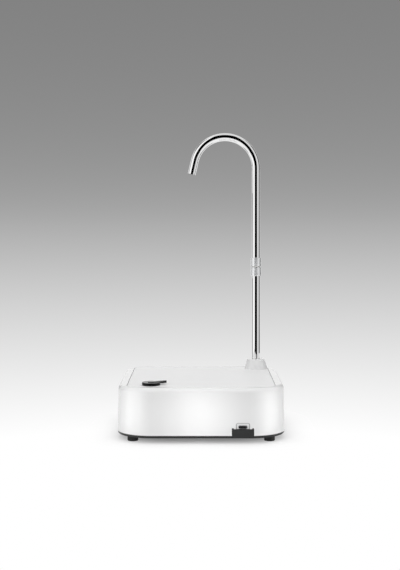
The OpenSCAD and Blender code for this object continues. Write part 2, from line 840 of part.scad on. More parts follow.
module spout_collar() {
  edge = 1.2;
  r1 = collar_d / 2;
  r2 = collar_top_d / 2;
  cavity_h = flange_t + socket_gasket_t + gap;
  color("white") on_spout_axis(top_z) difference() {
    rotate_extrude() {
      polygon([[0, 0], [r1, 0], [r2, collar_h - edge], [r2 - edge, collar_h], [0, collar_h]]);
      translate([r2 - edge, collar_h - edge]) circle(edge);
    }
    translate([0, 0, -eps]) cylinder(r = flange_r + gap, h = cavity_h + eps);
    cylinder(r = tube_r + 2 * fit, h = collar_h + eps);
  }
}

// Flanged fitting that holds the lower tube and turns the water in from the hose
module spout_socket() {
  flange_z = top_z + socket_gasket_t;
  color("ivory") difference() {
    union() {
      on_spout_axis(flange_z) cylinder(r = flange_r, h = flange_t);
      on_spout_axis(socket_foot_z) cylinder(r = socket_r, h = flange_z - socket_foot_z + eps);
      on_spout_axis(barb_z) rotate([90, 0, 0]) cylinder(r = barb_r, h = socket_r + barb_len);
    }
    on_spout_axis(seat_z) cylinder(r = tube_hole_r, h = flange_z + flange_t - seat_z + eps);
    on_spout_axis(socket_seal_z - ring_t) cylinder(r = tube_hole_r + ring_t, h = 2 * ring_t);
    on_spout_axis(chamber_z) cylinder(r = chamber_r, h = seat_z - chamber_z + eps);
    on_spout_axis(barb_z) rotate([90, 0, 0]) cylinder(r = barb_bore_r, h = socket_r + barb_len + eps);
  }
}

module socket_gasket() {
  color([0.2, 0.2, 0.2]) on_spout_axis(top_z) ring(flange_r, socket_hole_r, socket_gasket_t);
}

module hex_nut(r, bore_r, h) {
  difference() {
    cylinder(r = r, h = h, $fn = 6);
    translate([0, 0, -eps]) cylinder(r = bore_r, h = h + 2 * eps);
  }
}

module socket_nut() {
  color("ivory") on_spout_axis(ceiling_z - socket_nut_t)
    hex_nut(socket_nut_r, socket_r + fit, socket_nut_t);
}

module seal_ring(at_r, t) {
  rotate_extrude() translate([at_r, 0]) circle(t / 2);
}

module socket_seal() {
  color([0.2, 0.2, 0.2]) on_spout_axis(socket_seal_z) seal_ring(tube_r + fit + ring_t / 2, ring_t);
}

module lower_tube() {
  top = joint_z - nipple_flange / 2;
  color("gainsboro") on_spout_axis(seat_z) ring(tube_r, tube_bore_r, top - seat_z);
}

// Clear sleeve with rounded ends, standing on the origin
module sleeve() {
  r = sleeve_d / 2;
  color([0.8, 0.85, 0.9, 0.5]) difference() {
    rotate_extrude() {
      translate([0, sleeve_edge]) square([r, sleeve_len - 2 * sleeve_edge]);
      square([r - sleeve_edge, sleeve_len]);
      for (z = [sleeve_edge, sleeve_len - sleeve_edge])
        translate([r - sleeve_edge, z]) circle(sleeve_edge);
    }
    translate([0, 0, -eps]) cylinder(r = tube_r + fit, h = sleeve_len + 2 * eps);
  }
}

module lower_sleeve() {
  on_spout_axis(joint_z - sleeve_gap / 2 - sleeve_len) sleeve();
}

module upper_sleeve() {
  on_spout_axis(joint_z + sleeve_gap / 2) sleeve();
}

// Inner connector: a liner in both tubes with a flange between their ends
module joint_nipple() {
  color("ivory") on_spout_axis(joint_z) difference() {
    union() {
      translate([0, 0, -nipple_len]) cylinder(r = nipple_r, h = 2 * nipple_len);
      translate([0, 0, -nipple_flange / 2]) cylinder(r = tube_r, h = nipple_flange);
    }
    translate([0, 0, -nipple_len - eps]) cylinder(r = nipple_bore_r, h = 2 * nipple_len + 2 * eps);
    for (z = seal_at)
      translate([0, 0, z - ring_t / 2]) ring(nipple_r + eps, nipple_r - groove_d, ring_t);
  }
}

module joint_seals() {
  color([0.2, 0.2, 0.2]) for (z = seal_at)
    on_spout_axis(joint_z + z) seal_ring(nipple_r - groove_d + groove_d / 2, groove_d);
}

// Chrome gooseneck: up from the coupling, over in one bend and a straight end
module gooseneck() {
  start_z = joint_z + nipple_flange / 2 + fit;
  color("gainsboro") on_spout_axis(0) difference() {
    neck_run(tube_r, start_z, tip_len);
    neck_run(tube_bore_r, start_z - eps, tip_len + eps);
  }
}

module neck_run(r, z, tip) {
  translate([0, 0, z]) cylinder(r = r, h = neck_z - z);
  translate([-bend_r, 0, neck_z]) rotate([90, 0, 0]) {
    rotate_extrude(angle = bend_angle) translate([bend_r, 0]) circle(r);
    rotate(bend_angle) translate([bend_r, -tip_lap, 0]) rotate([-90, 0, 0])
      cylinder(r = r - tip_step, h = tip + tip_lap);
  }
}

module usb_shell() {
  color("silver") translate([port_x, socket_face, socket_z]) rotate([-90, 0, 0])
    linear_extrude(socket_len) difference() {
      stadium(socket_w, socket_h);
      stadium(socket_w - 2 * socket_t, socket_h - 2 * socket_t);
    }
}

module usb_tongue() {
  inner_w = socket_w - 2 * socket_t - 2 * fit;
  inner_h = socket_h - 2 * socket_t - 2 * fit;
  color("black") translate([port_x, socket_face, socket_z]) rotate([-90, 0, 0]) {
    translate([0, 0, socket_len - tongue_back]) linear_extrude(tongue_back) stadium(inner_w, inner_h);
    translate([-inner_w * 0.4, -tongue_t / 2, 0.6])
      cube([inner_w * 0.8, tongue_t, socket_len - tongue_back]);
  }
}

module charge_board() {
  color("darkgreen") difference() {
    translate([port_x - charge_w / 2, -inner_y + gap, charge_z - board_t])
      cube([charge_w, charge_d, board_t]);
    for (x = [-1, 1])
      translate([port_x + x * charge_screw_x, charge_screw_y, charge_z - board_t - eps])
        cylinder(r = small_hole_r, h = board_t + 2 * eps);
  }
}

module charge_board_screws() {
  color("silver") for (x = [-1, 1])
    translate([port_x + x * charge_screw_x, charge_screw_y, charge_z])
      pan_screw(small_screw_d, charge_screw_len, small_head_r, small_head_h);
}

// Steel can, closed at its front with a boss for the front bush
module motor_can() {
  color("silver") on_pump_axis(-motor_len) difference() {
    union() {
      cylinder(r = motor_r, h = motor_len);
      cylinder(r = can_boss_r, h = motor_len + can_boss_h);
    }
    translate([0, 0, -eps]) cylinder(r = can_inner_r, h = motor_len - can_wall + eps);
    cylinder(r = bush_r + fit, h = motor_len + can_boss_h + eps);
  }
}

module motor_end_cap() {
  color([0.9, 0.9, 0.85]) on_pump_axis(-motor_len) difference() {
    union() {
      translate([0, 0, -cap_t]) cylinder(r = motor_r, h = cap_t);
      cylinder(r = can_inner_r - fit, h = cap_plug);
    }
    translate([0, 0, -cap_t + 1]) cylinder(r = bush_r + fit, h = cap_t + cap_plug);
    translate([0, 0, -cap_t - eps]) cylinder(d = shaft_d + 4 * run, h = cap_t);
    for (x = [-1, 1])
      translate([x * blade_at, 0, 0])
        cube([brush_t + 2 * fit, brush_w + 2 * fit, 4 * cap_t], center = true);
  }
}

module bush(length) {
  color("darkgoldenrod") ring(bush_r, shaft_d / 2 + run, length);
}

module front_bush() {
  on_pump_axis(-can_wall - 1) bush(can_wall + 1 + can_boss_h);
}

module rear_bush() {
  on_pump_axis(-motor_len - cap_t + 1 + fit) bush(cap_t + cap_plug - 1 - fit);
}

// Blades through the end cap, each with an arm that reaches the commutator
module brush_arms() {
  reach = commutator_r + run;
  arm_z = -motor_len + cap_plug + fit;
  color("peru") for (x = [0, 1]) mirror([x, 0, 0]) on_pump_side(x) {
    translate([blade_at - brush_t / 2, -brush_w / 2, -motor_len - cap_t - blade_out])
      cube([brush_t, brush_w, cap_t + blade_out + cap_plug + fit + 2 * brush_t]);
    translate([reach, -brush_w / 2, arm_z]) cube([blade_at - reach, brush_w, 2 * brush_t]);
  }
}

// The pump axis, seen from a mirrored frame when side is 1
module on_pump_side(side) {
  translate([side == 1 ? -2 * pump_x : 0, 0, 0]) on_pump_axis() children();
}

module motor_magnets() {
  r_out = can_inner_r - fit;
  r_in = r_out - magnet_t;
  color([0.3, 0.3, 0.32]) for (a = [0, 180])
    on_pump_axis(core_z + core_len / 2 - magnet_len / 2) rotate(a - magnet_angle / 2)
      rotate_extrude(angle = magnet_angle) translate([r_in, 0]) square([magnet_t, magnet_len]);
}

module motor_shaft() {
  color("silver") on_pump_axis(-shaft_back) cylinder(d = shaft_d, h = shaft_back + shaft_front);
}

// Laminated core: a round stack with three winding slots
module armature_core() {
  color("dimgray") on_pump_axis(core_z) difference() {
    cylinder(r = core_r, h = core_len);
    translate([0, 0, -eps]) cylinder(d = shaft_d + 2 * fit, h = core_len + 2 * eps);
    for (a = [0:120:240]) rotate(a) {
      translate([slot_at, 0, -eps]) cylinder(r = slot_r, h = core_len + 2 * eps);
      translate([slot_at, -slot_mouth / 2, -eps]) cube([core_r, slot_mouth, core_len + 2 * eps]);
    }
  }
}

// Coils: a bundle in each slot, joined by the end turns
module armature_windings() {
  ring_in = slot_at - slot_r + fit;
  ring_out = slot_at + slot_r - fit;
  color("chocolate") on_pump_axis(core_z) {
    for (a = [0:120:240]) rotate(a)
      translate([slot_at, 0, -coil_end]) cylinder(r = slot_r - 2 * fit, h = core_len + 2 * coil_end);
    for (z = [-coil_end, core_len + fit]) translate([0, 0, z]) ring(ring_out, ring_in, coil_end - fit);
  }
}

module commutator() {
  color("peru") on_pump_axis(commutator_z) ring(commutator_r, shaft_d / 2 + fit, commutator_len);
}

module motor_cradle() {
  color([0.25, 0.25, 0.27]) difference() {
    translate([pump_x - cradle_w / 2, cradle_y, floor_z])
      cube([cradle_w, cradle_len, cradle_top - floor_z]);
    on_pump_axis(-motor_len) cylinder(r = motor_r + fit, h = motor_len);
    for (x = [-1, 1]) translate([pump_x + x * strap_screw_x, strap_y + strap_w / 2, floor_z - eps]) {
      cylinder(r = cradle_post_r + gap, h = cradle_post_h + gap + eps);
      cylinder(r = screw_hole_r, h = cradle_top);
    }
  }
}

module motor_strap() {
  color("silver") difference() {
    union() {
      intersection() {
        on_pump_axis(strap_y - pump_y) cylinder(r = strap_ri + strap_t, h = strap_w);
        translate([pump_x - motor_d, strap_y - eps, cradle_top])
          cube([2 * motor_d, strap_w + 2 * eps, 2 * motor_d]);
      }
      for (x = [0, 1]) translate([pump_x, 0, 0]) mirror([x, 0, 0])
        translate([strap_ear, strap_y, cradle_top]) cube([cradle_w / 2 - strap_ear, strap_w, strap_t]);
    }
    on_pump_axis(strap_y - pump_y - eps) cylinder(r = strap_ri, h = strap_w + 2 * eps);
    for (x = [-1, 1]) translate([pump_x + x * strap_screw_x, strap_y + strap_w / 2, cradle_top - eps])
      cylinder(r = screw_hole_r, h = strap_t + 2 * eps);
  }
}

module strap_screws() {
  color("silver") for (x = [-1, 1])
    translate([pump_x + x * strap_screw_x, strap_y + strap_w / 2, cradle_top + strap_t])
      pan_screw(screw_d, strap_screw_len, screw_head_r, screw_head_h);
}

// Outline of the pump, around both gears
module pump_outline() {
  round_r = 2;
  translate([0, -gear_c / 2]) rounded_rect(2 * pump_half, gear_c + 2 * pump_half, round_r);
}

module gear_chamber_outline() {
  circle(cavity_r);
  translate([0, -gear_c]) circle(cavity_r);
}

module pump_screw_holes(r, h) {
  for (x = [-1, 1], v = pump_screw_v) translate([x * pump_screw_x, v, 0]) cylinder(r = r, h = h);
}

module pump_body() {
  color([0.3, 0.32, 0.35]) on_pump_axis() difference() {
    union() {
      linear_extrude(pump_len) pump_outline();
      translate([-pump_half - barb_len, -gear_c / 2, port_w]) rotate([0, 90, 0])
        cylinder(r = barb_r, h = 2 * pump_half + 2 * barb_len);
    }
    translate([0, 0, pump_back]) linear_extrude(cavity_t + eps) gear_chamber_outline();
    translate([-pump_half - barb_len - eps, -gear_c / 2, port_w]) rotate([0, 90, 0])
      cylinder(r = barb_bore_r, h = 2 * pump_half + 2 * barb_len + 2 * eps);
    translate([0, 0, -eps]) cylinder(r = can_boss_r + fit, h = can_boss_h + gap + eps);
    cylinder(r = seal_r + fit, h = seal_z + seal_t + fit);
    cylinder(d = shaft_d + 4 * run, h = pump_len);
    translate([0, -gear_c, pump_back - pin_seat]) cylinder(d = pin_d + 2 * fit, h = pump_len);
    translate([0, 0, pump_back - pin_seat]) pump_screw_holes(pump_screw_d / 2 + fit, pump_len);
  }
}

module shaft_seal() {
  color([0.2, 0.2, 0.2]) on_pump_axis(seal_z) ring(seal_r, shaft_d / 2 + run, seal_t);
}

module drive_gear() {
  color("beige") on_pump_axis(pump_back + gear_gap / 2) linear_extrude(gear_t) difference() {
    gear_outline(90);
    circle(d = shaft_d + 2 * fit);
  }
}

module driven_gear() {
  color("beige") on_pump_axis(pump_back + gear_gap / 2) translate([0, -gear_c, 0]) linear_extrude(gear_t)
    difference() {
      gear_outline(90 + 180 / gear_teeth + (gear_teeth % 2) * 180 / gear_teeth);
      circle(d = pin_d + 2 * run);
    }
}

module driven_gear_pin() {
  color("silver") on_pump_axis(pump_back - pin_seat + fit) translate([0, -gear_c, 0])
    cylinder(d = pin_d, h = pin_len);
}

module pump_gasket() {
  color([0.2, 0.2, 0.2]) on_pump_axis(pump_len) difference() {
    linear_extrude(gasket_t) pump_outline();
    translate([0, 0, -eps]) linear_extrude(gasket_t + 2 * eps) gear_chamber_outline();
    translate([0, 0, -eps]) pump_screw_holes(pump_screw_d / 2 + fit, gasket_t + 2 * eps);
  }
}

module pump_cover() {
  color([0.3, 0.32, 0.35]) on_pump_axis(cover_z) difference() {
    linear_extrude(cover_t) pump_outline();
    translate([0, -gear_c, -eps]) cylinder(d = pin_d + 2 * fit, h = pin_cover + eps);
    translate([0, 0, -eps]) pump_screw_holes(pump_screw_d / 2 + fit, cover_t + 2 * eps);
  }
}

module pump_screws() {
  color("silver") on_pump_axis(cover_z + cover_t) for (x = [-1, 1], v = pump_screw_v)
    translate([x * pump_screw_x, v, 0])
      pan_screw(pump_screw_d, pump_screw_len, pump_screw_d * 0.95, pump_screw_d * 0.6);
}

// Hose along a route; its ends slide over barbs
module hose(points) {
  first = points[0];
  last = points[len(points) - 1];
  out_a = unit(first - points[1]) * eps;
  out_b = unit(last - points[len(points) - 2]) * eps;
  inside = [for (i = [1:1:len(points) - 2]) points[i]];
  longer = concat([first + out_a], inside, [last + out_b]);
  color([0.85, 0.87, 0.88]) difference() {
    route(points, hose_r, hose_bend);
    route(longer, hose_bore / 2, hose_bend);
  }
}

module suction_hose() {
  hose([
    [inlet_x, inlet_barb_y - gap, barb_z], [inlet_x, port_y, barb_z],
    [pump_x - pump_half - gap, port_y, barb_z]
  ]);
}

module delivery_hose() {
  hose([
    [pump_x + pump_half + gap, port_y, barb_z], [spout_x, port_y, barb_z],
    [spout_x, socket_face_y - gap, barb_z]
  ]);
}

// Spring clip: an open band with two finger tabs, centred on the origin along Z
module hose_clip() {
  r_in = hose_r + fit;
  mouth = 2;
  tab_len = 4;
  translate([0, 0, -clip_w / 2]) difference() {
    union() {
      cylinder(r = r_in + clip_t, h = clip_w);
      for (y = [-1, 1])
        translate([r_in, y * (mouth / 2 + clip_t / 2) - clip_t / 2, 0]) cube([tab_len, clip_t, clip_w]);
    }
    translate([0, 0, -eps]) cylinder(r = r_in, h = clip_w + 2 * eps);
    translate([0, -mouth / 2, -eps]) cube([4 * r_in, mouth, clip_w + 2 * eps]);
  }
}

module hose_clips() {
  from_end = gap + clip_inset + clip_w / 2;
  color("silver") {
    translate([inlet_x, inlet_barb_y - from_end, barb_z]) rotate([90, -90, 0]) hose_clip();
    translate([spout_x, socket_face_y - from_end, barb_z]) rotate([90, -90, 0]) hose_clip();
    for (s = [-1, 1])
      translate([pump_x + s * (pump_half + from_end), port_y, barb_z]) rotate([0, -90, 0]) hose_clip();
  }
}

// Push-in tube fitting through the back wall, with a barb inside
module inlet_fitting() {
  color("ivory") on_inlet_axis() difference() {
    union() {
      translate([0, 0, -inlet_flange_t]) cylinder(d = inlet_flange_d, h = inlet_flange_t);
      translate([0, 0, -inlet_flange_t]) cylinder(r = inlet_r, h = inlet_len + inlet_flange_t);
      cylinder(r = barb_r, h = inlet_len + barb_len);
    }
    translate([0, 0, -inlet_flange_t - eps])
      cylinder(r = collet_r, h = collet_len + inlet_ring_t + 2 * fit + eps);
    cylinder(r = inlet_bore_r, h = inlet_stop);
    cylinder(r = barb_bore_r, h = inlet_len + barb_len + eps);
  }
}

module inlet_collet() {
  color("slategray") on_inlet_axis(-inlet_flange_t) ring(collet_r - fit, inlet_bore_r, collet_len);
}

module inlet_seal() {
  color([0.2, 0.2, 0.2]) on_inlet_axis(collet_len - inlet_flange_t + fit + inlet_ring_t / 2)
    seal_ring(collet_r - inlet_ring_t / 2 - fit, inlet_ring_t);
}

module inlet_nut() {
  color("ivory") on_inlet_axis(inlet_wall) hex_nut(inlet_nut_r, inlet_r + fit, inlet_nut_t);
}

module battery_cell() {
  nub = 1;
  color("steelblue") translate([cell_x, cell_y - cell_len / 2, cell_z]) rotate([-90, 0, 0]) {
    cylinder(r = cell_r, h = cell_len - nub);
    cylinder(r = cell_r * 0.3, h = cell_len);
  }
}

// Tray with a contact strip standing at each end of the cell
module battery_holder() {
  outer_w = holder_inner_w + 2 * holder_t;
  outer_len = holder_inner_len + 2 * holder_t;
  color([0.15, 0.15, 0.17]) difference() {
    translate([cell_x - outer_w / 2, cell_y - outer_len / 2, floor_z])
      cube([outer_w, outer_len, holder_h]);
    translate([cell_x - holder_inner_w / 2, cell_y - holder_inner_len / 2, floor_z + holder_t])
      cube([holder_inner_w, holder_inner_len, holder_h]);
  }
}

// Leads of the motor, the cell and the charging board, and the cell's contact strips
module wiring() {
  color("firebrick") {
    motor_leads();
    charge_leads();
    cell_leads();
  }
}

module lead(points) {
  route(points, wire_r, wire_bend);
}

module motor_leads() {
  start_y = pump_y - motor_len - cap_t - blade_out;
  for (s = [-1, 1]) {
    y = motor_plug_y + s * wire_pitch / 2;
    x = pump_x + s * blade_at;
    lead([[x, start_y, motor_z], [x, y, motor_z], [x, y, plug_z], [plug_x, y, plug_z]]);
  }
}

module charge_leads() {
  lead_z = charge_z + wire_r;
  turn_x = plug_x + lead_turn;
  for (s = [-1, 1]) {
    y = charge_plug_y + s * wire_pitch / 2;
    x = turn_x - s * wire_pitch / 2;
    start_x = port_x - charge_w / 2 + lead_lap;
    lead([[start_x, y, lead_z], [x, y, lead_z], [x, y, plug_z], [plug_x, y, plug_z]]);
  }
}

module cell_leads() {
  for (s = [-1, 1]) {
    x = cell_plug_x + cell_plug_w / 2 + s * wire_pitch / 2;
    y = cell_y + s * (cell_len / 2 + 2 * fit + wire_r);
    translate([cell_x - contact_w / 2, cell_y + s * contact_y - contact_t / 2, floor_z + holder_t])
      cube([contact_w, contact_t, contact_top - floor_z - holder_t]);
    lead([[x, y, contact_top], [x, y, plug_z], [x, cell_plug_y, plug_z]]);
  }
}

housing();
top_panel();
base_plate();
foot(-1, -1);  // foot_front_left
foot(1, -1);  // foot_front_right
foot(-1, 1);  // foot_rear_left
foot(1, 1);  // foot_rear_right
case_screws();
knob();
switch_shaft();
switch_body();
switch_board();
switch_board_screws();
board_components();
spout_collar();
spout_socket();
socket_gasket();
socket_nut();
socket_seal();
lower_tube();
lower_sleeve();
joint_nipple();
joint_seals();
gooseneck();
upper_sleeve();
usb_shell();
usb_tongue();
charge_board();
charge_board_screws();
motor_can();
motor_end_cap();
front_bush();
rear_bush();
brush_arms();
motor_magnets();
motor_shaft();
armature_core();
armature_windings();
commutator();
motor_cradle();
motor_strap();
strap_screws();
pump_body();
shaft_seal();
drive_gear();
driven_gear();
driven_gear_pin();
pump_gasket();
pump_cover();
pump_screws();
suction_hose();
delivery_hose();
hose_clips();
inlet_fitting();
inlet_collet();
inlet_seal();
inlet_nut();
battery_cell();
battery_holder();
wiring();
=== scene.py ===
"""Looks of the electric water jug pump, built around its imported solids."""
import json
import math

import bmesh
import bpy
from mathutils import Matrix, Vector


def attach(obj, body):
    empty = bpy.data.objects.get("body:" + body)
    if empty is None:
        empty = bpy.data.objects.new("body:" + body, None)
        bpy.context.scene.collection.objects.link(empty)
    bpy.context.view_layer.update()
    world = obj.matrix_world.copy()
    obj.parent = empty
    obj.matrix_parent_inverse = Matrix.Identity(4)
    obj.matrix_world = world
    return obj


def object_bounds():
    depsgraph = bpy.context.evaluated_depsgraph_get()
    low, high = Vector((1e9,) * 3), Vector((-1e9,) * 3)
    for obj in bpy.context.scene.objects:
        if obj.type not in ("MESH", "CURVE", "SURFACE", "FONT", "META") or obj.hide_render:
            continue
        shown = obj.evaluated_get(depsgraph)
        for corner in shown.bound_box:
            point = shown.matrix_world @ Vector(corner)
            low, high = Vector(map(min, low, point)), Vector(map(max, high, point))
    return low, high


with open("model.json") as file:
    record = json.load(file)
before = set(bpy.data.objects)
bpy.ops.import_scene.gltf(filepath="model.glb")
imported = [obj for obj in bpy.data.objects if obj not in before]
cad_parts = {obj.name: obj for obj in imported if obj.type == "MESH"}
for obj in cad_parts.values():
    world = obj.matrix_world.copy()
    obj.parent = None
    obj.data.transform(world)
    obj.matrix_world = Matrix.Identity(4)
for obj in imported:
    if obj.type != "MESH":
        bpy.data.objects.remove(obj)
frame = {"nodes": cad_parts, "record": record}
cad_low, cad_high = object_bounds()
scene = bpy.context.scene
scene.view_settings.view_transform = "Standard"

# Photograph's frame, in pixels, and its camera, in metres
IMAGE_H = 570
HORIZON_PX = 219.4
FOCAL_PX = 1100
SENSOR_MM = 36
FRONT_MM_PER_PX = 0.988
CAMERA_X = -0.0012
CAMERA_Z = 0.2216


def link(obj):
    scene.collection.objects.link(obj)
    return obj


# Shader graphs

# Where most of a noise texture's values lie
NOISE_LOW = 0.3
NOISE_HIGH = 0.7


def add(tree, kind, inputs=None, **settings):
    """Adds a shader node. An input that is a socket is linked, and any other is set."""
    node = tree.nodes.new("ShaderNode" + kind)
    for key, value in settings.items():
        setattr(node, key, value)
    for key, value in (inputs or {}).items():
        if isinstance(value, bpy.types.NodeSocket):
            tree.links.new(value, node.inputs[key])
        else:
            node.inputs[key].default_value = value
    return node


def maths(tree, operation, *values):
    """The result of a sum on numbers or sockets."""
    return add(tree, "Math", dict(enumerate(values)), operation=operation).outputs[0]


def new_material(name):
    """An empty material and its tree, with the output node in place."""
    material = bpy.data.materials.new(name)
    material.use_nodes = True
    material.node_tree.nodes.clear()
    add(material.node_tree, "OutputMaterial")
    return material, material.node_tree


def connect(tree, shader):
    tree.links.new(shader.outputs[0], tree.nodes["Material Output"].inputs["Surface"])


def place(tree, stretch=(1, 1, 1)):
    """Texture coordinates in the object's own frame, in metres, stretched along its axes."""
    own = add(tree, "TexCoord").outputs["Object"]
    return add(tree, "Mapping", {"Vector": own, "Scale": stretch}).outputs[0]


def noise(tree, vector, size, detail=3.0):
    """Noise from 0 to 1 whose blots are about one size across, in metres."""
    inputs = {"Vector": vector, "Scale": 1 / size, "Detail": detail}
    return add(tree, "TexNoise", inputs).outputs["Fac"]


def spread(tree, value, low, high):
    """Noise brought to a range."""
    limits = {"From Min": NOISE_LOW, "From Max": NOISE_HIGH, "To Min": low, "To Max": high}
    return add(tree, "MapRange", {"Value": value, **limits}).outputs[0]


def uneven(tree, value, middle, share):
    """Noise brought to a range that reaches a share of the middle to either side of it."""
    return spread(tree, value, middle * (1 - share), middle * (1 + share))


def mix_colour(tree, share, first, second):
    """A blend of two colours. A mix node takes colours at sockets 6 and 7 and gives one at 2."""
    return add(tree, "Mix", {0: share, 6: first, 7: second}, data_type="RGBA").outputs[2]


def bump(tree, height, depth):
    """Normal from a height map; depth is in metres."""
    return add(tree, "Bump", {"Height": height, "Strength": 1.0, "Distance": depth}).outputs[0]


def grey(level):
    return (level, level, level, 1)


def shade(colour, share):
    return (colour[0] * share, colour[1] * share, colour[2] * share, 1)


# Materials

def moulded(name, colour, roughness, grain, depth, blotch=0.97, coat=0.0, specular=0.5):
    """Moulded plastic: faint clouds in the colour, uneven gloss and a fine skin texture."""
    material, tree = new_material(name)
    vector = place(tree)
    clouds = noise(tree, vector, size=0.03)
    gloss = noise(tree, vector, size=0.008)
    skin = noise(tree, vector, size=grain, detail=2.0)
    connect(tree, add(tree, "BsdfPrincipled", {
        "Base Color": mix_colour(tree, clouds, shade(colour, blotch), colour),
        "Roughness": uneven(tree, gloss, roughness, share=0.12),
        "Normal": bump(tree, skin, depth),
        "Coat Weight": coat,
        "Coat Roughness": 0.06,
        "Specular IOR Level": specular,
    }))
    return material


def metal(name, colour, roughness, stretch=(1, 1, 1), streak=0.0006, depth=2e-7):
    """Metal with fine streaks along the axis that the stretch leaves long."""
    material, tree = new_material(name)
    streaks = noise(tree, place(tree, stretch), size=streak, detail=4.0)
    clouds = noise(tree, place(tree), size=0.012)
    connect(tree, add(tree, "BsdfPrincipled", {
        "Base Color": mix_colour(tree, clouds, shade(colour, 0.94), colour),
        "Metallic": 1.0,
        "Roughness": uneven(tree, streaks, roughness, share=0.2),
        "Normal": bump(tree, streaks, depth),
    }))
    return material


def rubber(name, colour, roughness=0.72):
    """Matt rubber with a dusty bloom and a grained skin."""
    material, tree = new_material(name)
    vector = place(tree)
    bloom = noise(tree, vector, size=0.006)
    gloss = noise(tree, vector, size=0.002)
    skin = noise(tree, vector, size=0.0004)
    connect(tree, add(tree, "BsdfPrincipled", {
        "Base Color": mix_colour(tree, bloom, colour, shade(colour, 1.7)),
        "Roughness": uneven(tree, gloss, roughness, share=0.1),
        "Normal": bump(tree, skin, depth=3e-5),
    }))
    return material


def sleeve_over_chrome(name, colour, roughness):
    """Clear moulding drawn tight over a chrome tube, drawn opaque and part metal: its own softened
    mirror shine is a painted reflection standing in for the chrome seen through it.
    """
    material, tree = new_material(name)
    haze = noise(tree, place(tree), size=0.004)
    connect(tree, add(tree, "BsdfPrincipled", {
        "Base Color": mix_colour(tree, haze, shade(colour, 0.95), colour),
        # Painted reflection: part metal, so that the opaque sleeve's own shine stands in for the
        # chrome seen through it
        "Metallic": 0.62,
        "Roughness": uneven(tree, haze, roughness, share=0.15),
        "Coat Weight": 1.0,
        "Coat Roughness": 0.05,
    }))
    return material


def circuit_board(name, mask, copper, pad_size=0.22):
    """Solder mask over copper tracks, with a grid of small pads."""
    material, tree = new_material(name)
    vector = place(tree)
    tracks = add(tree, "TexBrick", {
        "Vector": vector, "Scale": 220.0, "Mortar Size": 0.06, "Mortar Smooth": 0.2,
        "Color1": grey(0), "Color2": grey(0.15), "Mortar": grey(1),
    })
    pads = add(tree, "TexVoronoi", {"Vector": vector, "Scale": 320.0, "Randomness": 0.35})
    pad = maths(tree, "LESS_THAN", pads.outputs["Distance"], pad_size)
    masked = mix_colour(tree, tracks.outputs["Color"], mask, shade(mask, 1.6))
    gloss = noise(tree, vector, size=0.003)
    connect(tree, add(tree, "BsdfPrincipled", {
        "Base Color": mix_colour(tree, pad, masked, copper),
        "Roughness": spread(tree, gloss, low=0.28, high=0.4),
        "Metallic": pad,
        "Normal": bump(tree, tracks.outputs["Fac"], depth=3e-5),
    }))
    return material


def silicone(name, colour):
    """Milky hose rubber that lets some light through."""
    material, tree = new_material(name)
    vector = place(tree)
    haze = noise(tree, vector, size=0.01)
    skin = noise(tree, vector, size=0.0008)
    connect(tree, add(tree, "BsdfPrincipled", {
        "Base Color": mix_colour(tree, haze, shade(colour, 0.9), colour),
        "Roughness": spread(tree, haze, low=0.34, high=0.5),
        "Transmission Weight": 0.35,
        "IOR": 1.41,
        "Normal": bump(tree, skin, depth=1e-5),
    }))
    return material


LONG_Y = (1, 0.04, 1)
LONG_Z = (1, 1, 0.04)

LOOKS = {
    "shell_white": (moulded, dict(
        colour=grey(0.84), roughness=0.22, grain=0.0012, depth=6e-6, blotch=0.985, coat=0.3)),
    "panel_white": (moulded, dict(
        colour=grey(0.88), roughness=0.38, grain=0.0006, depth=1e-5, blotch=0.98, specular=0.25)),
    "base_dark": (moulded, dict(
        colour=grey(0.015), roughness=0.5, grain=0.0004, depth=3e-5, blotch=0.85)),
    "foot_rubber": (rubber, dict(colour=grey(0.008))),
    "knob_black": (moulded, dict(
        colour=grey(0.003), roughness=0.12, grain=0.0008, depth=2e-6, blotch=0.8, specular=0.15)),
    "tube_chrome": (metal, dict(
        colour=grey(0.93), roughness=0.03, stretch=LONG_Z, depth=2e-8)),
    "sleeve_clear": (sleeve_over_chrome, dict(
        colour=(0.8514, 0.86, 0.8686, 1), roughness=0.2)),
    "fitting_plastic": (moulded, dict(
        colour=(0.72, 0.7, 0.62, 1), roughness=0.42, grain=0.0006, depth=2e-5)),
    "collet_grey": (moulded, dict(
        colour=(0.16, 0.18, 0.2, 1), roughness=0.4, grain=0.0006, depth=2e-5)),
    "seal_rubber": (rubber, dict(colour=grey(0.02))),
    "bright_steel": (metal, dict(
        colour=(0.68, 0.68, 0.7, 1), roughness=0.24, stretch=LONG_Z, depth=2e-6)),
    "bearing_bronze": (metal, dict(
        colour=(0.6, 0.4, 0.18, 1), roughness=0.42, streak=0.0003, depth=4e-6)),
    "copper": (metal, dict(
        colour=(0.75, 0.36, 0.2, 1), roughness=0.3, stretch=LONG_Y, depth=4e-6)),
    "magnet_grey": (metal, dict(
        colour=(0.2, 0.2, 0.21, 1), roughness=0.55, streak=0.0003, depth=8e-6)),
    "gear_plastic": (moulded, dict(
        colour=(0.74, 0.7, 0.56, 1), roughness=0.4, grain=0.0005, depth=2e-5)),
    "pump_grey": (moulded, dict(
        colour=(0.06, 0.065, 0.075, 1), roughness=0.48, grain=0.0005, depth=3e-5, blotch=0.85)),
    "board_green": (circuit_board, dict(
        mask=(0.01, 0.12, 0.04, 1), copper=(0.8, 0.62, 0.3, 1))),
    "component_black": (moulded, dict(
        colour=grey(0.02), roughness=0.45, grain=0.0004, depth=2e-5, blotch=0.8)),
    "cell_sleeve": (moulded, dict(
        colour=(0.03, 0.12, 0.35, 1), roughness=0.26, grain=0.004, depth=6e-5, blotch=0.85)),
    "hose_silicone": (silicone, dict(colour=(0.8, 0.82, 0.82, 1))),
    "wire_red": (rubber, dict(colour=(0.4, 0.02, 0.015, 1), roughness=0.4)),
}
MATERIALS = {name: build(name, **look) for name, (build, look) in LOOKS.items()}

for subpart in frame["record"]["subparts"]:
    for slot in frame["nodes"][subpart["node"]].material_slots:
        slot.material = MATERIALS[subpart["material_slot"]]
